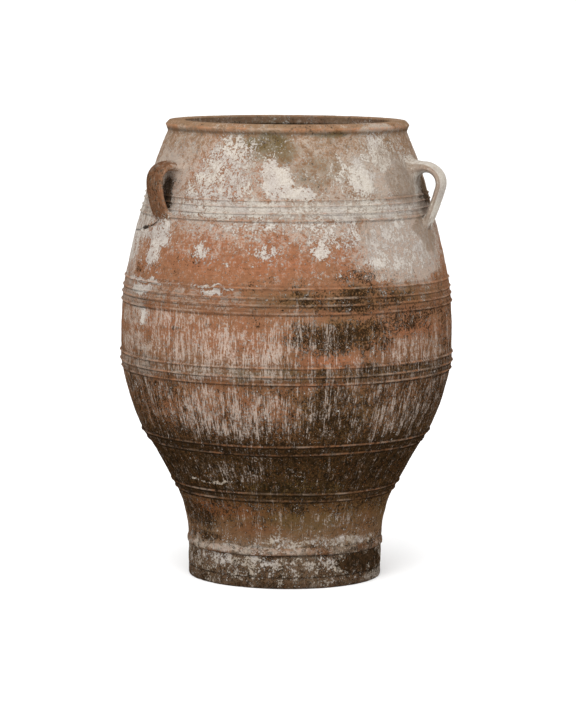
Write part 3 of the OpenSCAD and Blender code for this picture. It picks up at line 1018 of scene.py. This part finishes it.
class Shader:
    """Short names for the shader nodes that the materials use."""

    def __init__(self, name):
        self.material = bpy.data.materials.new(name)
        self.material.use_nodes = True
        self.tree = self.material.node_tree
        self.surface = self.tree.nodes["Principled BSDF"]

    def add(self, kind, inputs=(), **settings):
        node = self.tree.nodes.new(kind)
        for key, value in settings.items():
            setattr(node, key, value)
        for socket, value in dict(inputs).items():
            if isinstance(value, bpy.types.NodeSocket):
                self.tree.links.new(value, node.inputs[socket])
            else:
                node.inputs[socket].default_value = value
        return node

    def attribute(self, name, output="Fac"):
        return self.add("ShaderNodeAttribute", attribute_name=name).outputs[output]

    def math(self, operation, a, b, c=0.0):
        node = self.add("ShaderNodeMath", {0: a, 1: b, 2: c}, operation=operation)
        return node.outputs[0]

    def times(self, a, b):
        return self.math("MULTIPLY", a, b)

    def scaled(self, value, scale, offset):
        """The value times the scale, plus the offset."""
        return self.math("MULTIPLY_ADD", value, scale, offset)

    def stretch(self, vector, x, y, z):
        node = self.add("ShaderNodeVectorMath", {0: vector, 1: (x, y, z)}, operation="MULTIPLY")
        return node.outputs[0]

    def noise(self, vector, size, detail=3.0, roughness=0.55, distortion=0.0):
        """Noise from 0 to 1 with features of that size in mm."""
        node = self.add("ShaderNodeTexNoise", {
            "Vector": vector, "Scale": 1 / (size * MM), "Detail": detail,
            "Roughness": roughness, "Distortion": distortion,
        })
        return node.outputs["Fac"]

    def edge(self, value, low, high):
        """0 below low and 1 above high, with a smooth change between."""
        node = self.add("ShaderNodeMapRange", {
            "Value": value, "From Min": low, "From Max": high,
        }, interpolation_type="SMOOTHSTEP")
        return node.outputs[0]

    def mix(self, share, a, b, blend="MIX"):
        node = self.add("ShaderNodeMix", {0: share, 6: a, 7: b}, data_type="RGBA", blend_type=blend)
        return node.outputs[2]

    def coat(self, colour, layer, opacity, over):
        """The colour, with another over it where the layer lies."""
        return self.mix(self.times(layer, opacity), colour, over)


def paint(red, green, blue):
    return (*seen(red, green, blue), 1.0)


def covered(shader, layer, pattern, coarse, fine, softness):
    """Where one kind of dirt covers the clay: more of the pattern the stronger the layer is there.
    coarse and fine say how much the pattern and the grain break up its edge."""
    level = shader.scaled(pattern, coarse, -2 - coarse / 2 - fine / 2)
    level = shader.scaled(shader.grain, fine, level)
    level = shader.scaled(shader.attribute(layer), 4.0, level)
    return shader.edge(level, -softness, softness)


def add_patterns(shader):
    """Noises that several layers of a material share. Runs go down the wall, lines round it."""
    position = shader.position = shader.add("ShaderNodeTexCoord").outputs["Object"]
    unrolled = shader.attribute("around", "Vector")
    shader.fine = shader.noise(position, 3.4, 4.0, 0.85)
    shader.middling = shader.noise(position, 12.0, 6.0, 0.7)
    shader.broad = shader.noise(position, 48.0, 5.0, 0.65)
    shader.flakes = shader.noise(shader.stretch(position, 1, 1, 0.75), 15.0, 7.0, 0.78, 0.2)
    shader.specks = shader.noise(position, 20.0, 8.0, 0.86)
    shader.grain = shader.noise(position, 4.6, 3.0, 0.75)
    shader.lines = shader.noise(shader.stretch(unrolled, 0.05, 0.05, 1), 3.0, 4.0, 0.7)
    thin = shader.noise(shader.stretch(unrolled, 1, 1, 0.13), 3.0, 4.0, 0.72, 0.1)
    short = shader.noise(shader.stretch(unrolled, 1, 1, 0.3), 5.0, 4.0, 0.75, 0.3)
    columns = shader.noise(shader.stretch(unrolled, 1, 1, 0.06), 15.0, 3.0, 0.6)
    runs = shader.scaled(thin, 0.64, shader.times(short, 0.12))
    shader.runs = shader.scaled(columns, 0.25, runs)


def fired_clay(shader):
    """The clay's own colour, with redder clouds, a mottled shade and dark pits."""
    clay = shader.attribute("clay", "Color")
    redder = shader.edge(shader.broad, 0.38, 0.66)
    tint = shader.mix(redder, paint(255, 240, 226), paint(255, 206, 178))
    colour = shader.mix(0.5, clay, shader.mix(1.0, clay, tint, "MULTIPLY"))
    shade = shader.scaled(shader.middling, 1.0, 0.5)
    shade = shader.times(shade, shader.scaled(shader.lines, 0.5, 0.75))
    shade = shader.times(shade, shader.scaled(shader.fine, 0.8, 0.6))
    shade = shader.add("ShaderNodeCombineColor", {0: shade, 1: shade, 2: shade}).outputs[0]
    colour = shader.mix(1.0, colour, shade, "MULTIPLY")
    pits = shader.edge(shader.noise(shader.position, 3.8, 2.0, 0.6), 0.36, 0.29)
    return shader.coat(colour, pits, 0.6, paint(64, 46, 32))


def flecked(shader, colour, dark):
    """The colour with small pale and rusty flecks, mostly where the dark film lies."""
    spots = shader.noise(shader.stretch(shader.position, 1, 1, 0.6), 3.4, 2.0, 0.7)
    rusty_or_pale = shader.edge(shader.broad, 0.5, 0.58)
    fleck = shader.mix(rusty_or_pale, paint(148, 94, 54), paint(156, 138, 116))
    flecks = shader.times(shader.edge(spots, 0.6, 0.68), shader.scaled(dark, 0.45, 0.08))
    return shader.mix(flecks, colour, fleck)


def limed(shader, colour, lime, crust):
    """The colour under a flaked crust of lime, which is browner in its grain."""
    cream = shader.mix(shader.edge(shader.broad, 0.4, 0.62), paint(*crust), paint(214, 206, 198))
    brown = shader.mix(0.4, cream, paint(150, 128, 106))
    cream = shader.mix(shader.edge(shader.fine, 0.36, 0.6), brown, cream)
    return shader.coat(colour, lime, 0.92, cream)


def dirtied(shader, colour, lime, crust, film):
    """The colour under haze, moss, dark film with painted shadow behind the straps, streaks,
    flecks, lime and wash, in that order.
    """
    haze = covered(shader, "haze", shader.middling, 5.0, 7.5, 1.0)
    haze = shader.times(haze, shader.scaled(shader.fine, 0.7, 0.25))
    colour = shader.mix(haze, colour, paint(214, 202, 188))
    moss = covered(shader, "moss", shader.middling, 3.0, 4.0, 1.8)
    colour = shader.coat(colour, moss, 0.66, paint(88, 82, 46))
    dark = covered(shader, "dark", shader.specks, 7.0, 12.0, 0.6)
    # The dark coat is a dirt film, and behind the straps a painted shadow.
    dark_film_and_shadow = shader.mix(shader.edge(shader.middling, 0.4, 0.6), paint(*film), paint(62, 44, 26))
    colour = shader.coat(colour, dark, 0.94, dark_film_and_shadow)
    streak = covered(shader, "streak", shader.runs, 13.0, 5.5, 0.9)
    colour = shader.coat(colour, streak, 0.62, paint(226, 207, 192))
    colour = flecked(shader, colour, dark)
    colour = limed(shader, colour, lime, crust)
    wash = covered(shader, "wash", shader.runs, 7.0, 6.0, 0.9)
    return shader.coat(colour, wash, 0.6, paint(142, 116, 92))


def worn(shader, colour):
    """The colour with painted shade, partly dirt, in the hollows, and with crests paled partly by
    wear and partly by a painted highlight.
    """
    # Painted shade, partly dirt, in the hollows.
    depth = shader.times(shader.attribute("hollow_shade_and_dirt"), shader.edge(shader.middling, 0.2, 0.55))
    colour = shader.mix(shader.math("MINIMUM", depth, 0.9), colour, paint(32, 23, 14))
    # Pale crests and edges: partly wear laying the clay bare, partly a painted highlight.
    wear_and_highlight = shader.times(shader.attribute("wear_and_highlight"), shader.edge(shader.middling, 0.36, 0.56))
    pale_or_orange = shader.edge(shader.broad, 0.42, 0.56)
    bare_and_lit = shader.mix(pale_or_orange, paint(210, 184, 162), paint(196, 136, 96))
    return shader.coat(colour, wear_and_highlight, 0.6, bare_and_lit)


def terracotta(name, crust, film, bump_height):
    """Fired clay under dirt and wear, with painted shade in the hollows and painted highlight on
    crests and edges, from the colours of its lime crust and its dark film.
    """
    shader = Shader(name)
    add_patterns(shader)
    lime = covered(shader, "lime", shader.flakes, 9.5, 9.0, 0.35)
    colour = worn(shader, dirtied(shader, fired_clay(shader), lime, crust, film))

    height = shader.scaled(shader.fine, 0.55, shader.times(shader.grain, 0.5))
    height = shader.scaled(shader.lines, 0.5, height)
    height = shader.scaled(lime, 0.5, height)
    height = shader.scaled(shader.middling, 0.8, height)
    bump = shader.add("ShaderNodeBump", {
        "Height": height, "Strength": 1.0, "Distance": bump_height * MM,
    })
    roughness = shader.scaled(shader.fine, 0.2, 0.78)
    surface = shader.surface
    shader.tree.links.new(colour, surface.inputs["Base Color"])
    shader.tree.links.new(roughness, surface.inputs["Roughness"])
    shader.tree.links.new(bump.outputs["Normal"], surface.inputs["Normal"])
    surface.inputs["Specular IOR Level"].default_value = 0.0
    return shader.material


# ---- the jar -------------------------------------------------------------------------

MATERIALS = {
    "terracotta_dark": terracotta("dark_terracotta", (204, 190, 172), (30, 22, 12), 1.5),
    "terracotta_red": terracotta("red_terracotta", (232, 224, 214), (36, 26, 15), 1.3),
    "terracotta_limed": terracotta("limed_terracotta", (232, 224, 212), (54, 40, 26), 1.1),
}
SLOT_OF = {part["node"]: part["material_slot"] for part in frame["record"]["subparts"]}


def finish_piece(piece, node):
    """Gives a piece the material of its CAD node's slot, attaches it to the root body and hides
    that node.
    """
    slot = SLOT_OF[node]
    piece.data.materials.append(MATERIALS[slot])
    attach(piece, "root")
    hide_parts(node)


finish_piece(make_slab(), "base_slab")
for drum, low, high in zip(DRUMS, SEAM_Z[1:], SEAM_Z[2:]):
    finish_piece(make_drum(drum + "_wall", low, high), drum)
finish_piece(make_ledge(), "foot_ledge_coil")
for band in BANDS:
    finish_piece(make_band(band), band)
finish_piece(make_lip(), "rim_lip")
for side in HANDLES:
    strap = strap_data(side)
    finish_piece(make_strap(strap), side + "_handle")
    for end in ("upper", "lower"):
        finish_piece(make_pad(strap, end), f"{side}_handle_{end}_pad")

# ---- studio --------------------------------------------------------------------------

FLOOR_HALF = 30.0        # metres
FLOOR_ROWS = 5


def make_floor():
    """A plain pale floor under the jar."""
    line = np.linspace(-FLOOR_HALF, FLOOR_HALF, FLOOR_ROWS)
    corners = [(x, y, 0) for y in line for x in line]
    faces = [
        (a, a + 1, a + 1 + FLOOR_ROWS, a + FLOOR_ROWS)
        for row in range(FLOOR_ROWS - 1)
        for a in range(row * FLOOR_ROWS, row * FLOOR_ROWS + FLOOR_ROWS - 1)
    ]
    mesh = bpy.data.meshes.new("floor")
    mesh.from_pydata(corners, [], faces)
    floor = bpy.data.objects.new("floor", mesh)
    material = bpy.data.materials.new("white_floor")
    material.use_nodes = True
    surface = material.node_tree.nodes["Principled BSDF"]
    surface.inputs["Base Color"].default_value = (0.93, 0.93, 0.93, 1)
    surface.inputs["Roughness"].default_value = 0.9
    mesh.materials.append(material)
    bpy.context.scene.collection.objects.link(floor)


def make_camera():
    """The photograph's viewpoint: level with a standing person's chest, looking slightly down."""
    camera = bpy.data.objects.new("camera", bpy.data.cameras.new("camera"))
    camera.data.lens = 167.6
    camera.data.sensor_width = 36.0
    camera.data.clip_end = 100
    across, distance, height = 0.004, 7.21, 1.311
    pitch, roll = math.radians(6.54), math.radians(0.37)
    camera.matrix_world = (
        Matrix.Translation((across, -distance, height))
        @ Matrix.Rotation(math.pi / 2 - pitch, 4, "X")
        @ Matrix.Rotation(roll, 4, "Z")
    )
    bpy.context.scene.collection.objects.link(camera)
    bpy.context.scene.camera = camera


def make_light():
    """White surroundings, with a large soft light above and in front of the jar."""
    world = bpy.data.worlds.new("studio")
    world.use_nodes = True
    background = world.node_tree.nodes["Background"].inputs
    background["Color"].default_value = (1, 1, 1, 1)
    background["Strength"].default_value = 1.3
    bpy.context.scene.world = world
    light = bpy.data.lights.new("key", "AREA")
    light.size = 2.6
    light.energy = 140
    lamp = bpy.data.objects.new("key", light)
    bpy.context.scene.collection.objects.link(lamp)
    position, target = Vector((-0.4, -2.9, 3.3)), Vector((0, 0, 0.55))
    facing = (target - position).to_track_quat("-Z", "Y")
    lamp.matrix_world = Matrix.LocRotScale(position, facing, None)


make_floor()
make_light()
make_camera()
bpy.context.scene.view_settings.view_transform = "Standard"
